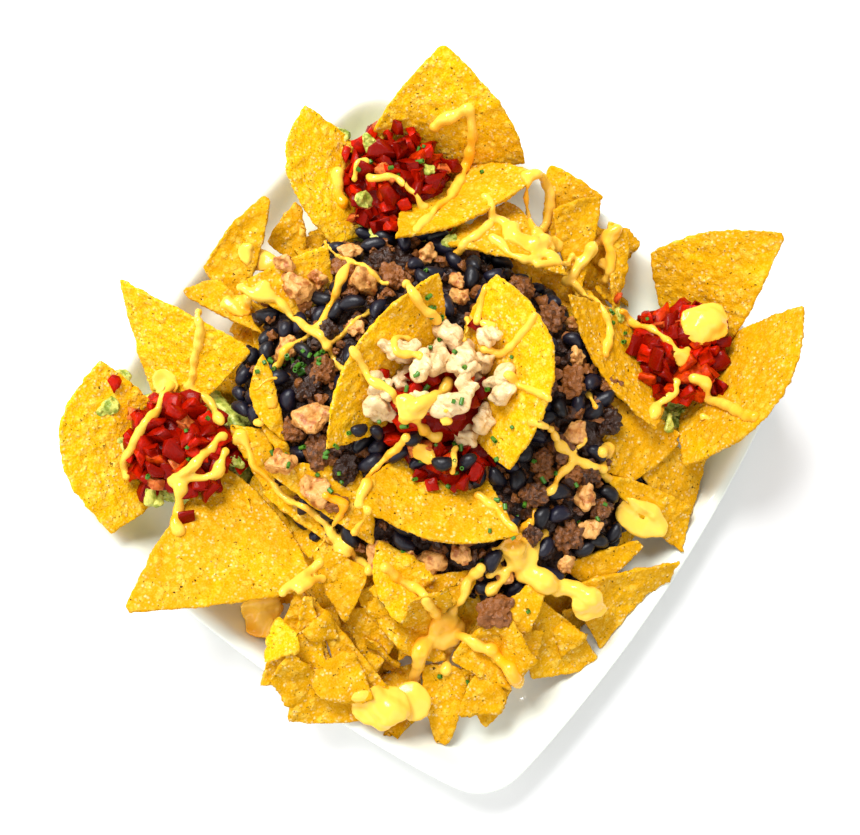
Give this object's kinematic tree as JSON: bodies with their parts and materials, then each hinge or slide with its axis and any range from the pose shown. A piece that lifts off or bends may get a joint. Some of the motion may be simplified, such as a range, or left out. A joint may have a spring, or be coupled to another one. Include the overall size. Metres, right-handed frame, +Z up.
{
  "type": "plate of loaded nachos",
  "caption": "Square white plate heaped with corn tortilla chips, black beans, browned meat, tomato salsa, guacamole, white chicken and melted cheese sauce.",
  "frame": {"origin": "middle of the plate's flat base, on the surface it stands on", "axes": "+Z up; +X and +Y along the plate's sides, square to its bowed edges"},
  "size_m": [0.29, 0.3123, 0.1035],
  "materials": {
    "white_glaze": "glossy white glaze",
    "corn_chip": "matte fried corn, golden with dark specks",
    "tomato_salsa": "wet diced tomato",
    "guacamole": "soft mashed avocado",
    "white_chicken": "moist pale cooked chicken",
    "beans_and_meat": "glossy black beans with browned meat",
    "cheese_sauce": "glossy melted cheese sauce"
  },
  "bodies": {
    "root": {"back_chip_1": "corn_chip", "back_chip_2": "corn_chip", "back_chip_3": "corn_chip", "back_chip_4": "corn_chip", "beans_and_meat": "beans_and_meat", "broken_chips": "corn_chip", "crown_chip_1": "corn_chip", "crown_chip_2": "corn_chip", "crown_chip_3": "corn_chip", "crown_salsa": "tomato_salsa", "front_cheese": "cheese_sauce", "front_chip_1": "corn_chip", "front_chip_10": "corn_chip", "front_chip_11": "corn_chip", "front_chip_12": "corn_chip", "front_chip_13": "corn_chip", "front_chip_14": "corn_chip", "front_chip_2": "corn_chip", "front_chip_3": "corn_chip", "front_chip_4": "corn_chip", "front_chip_5": "corn_chip", "front_chip_6": "corn_chip", "front_chip_7": "corn_chip", "front_chip_8": "corn_chip", "front_chip_9": "corn_chip", "front_left_cheese": "cheese_sauce", "front_right_cheese": "cheese_sauce", "left_chip_1": "corn_chip", "left_chip_10": "corn_chip", "left_chip_2": "corn_chip", "left_chip_3": "corn_chip", "left_chip_4": "corn_chip", "left_chip_5": "corn_chip", "left_chip_6": "corn_chip", "left_chip_7": "corn_chip", "left_chip_8": "corn_chip", "left_chip_9": "corn_chip", "left_nest_chip_1": "corn_chip", "left_nest_chip_2": "corn_chip", "left_nest_chip_3": "corn_chip", "left_nest_guacamole": "guacamole", "left_nest_salsa": "tomato_salsa", "plate": "white_glaze", "right_chip_1": "corn_chip", "right_chip_2": "corn_chip", "right_chip_3": "corn_chip", "right_chip_4": "corn_chip", "right_nest_cheese": "cheese_sauce", "right_nest_chip_1": "corn_chip", "right_nest_chip_2": "corn_chip", "right_nest_chip_3": "corn_chip", "right_nest_guacamole": "guacamole", "right_nest_salsa": "tomato_salsa", "top_nest_chip_1": "corn_chip", "top_nest_chip_2": "corn_chip", "top_nest_chip_3": "corn_chip", "top_nest_guacamole": "guacamole", "top_nest_salsa": "tomato_salsa", "white_chicken": "white_chicken"}
  },
  "joints": []
}
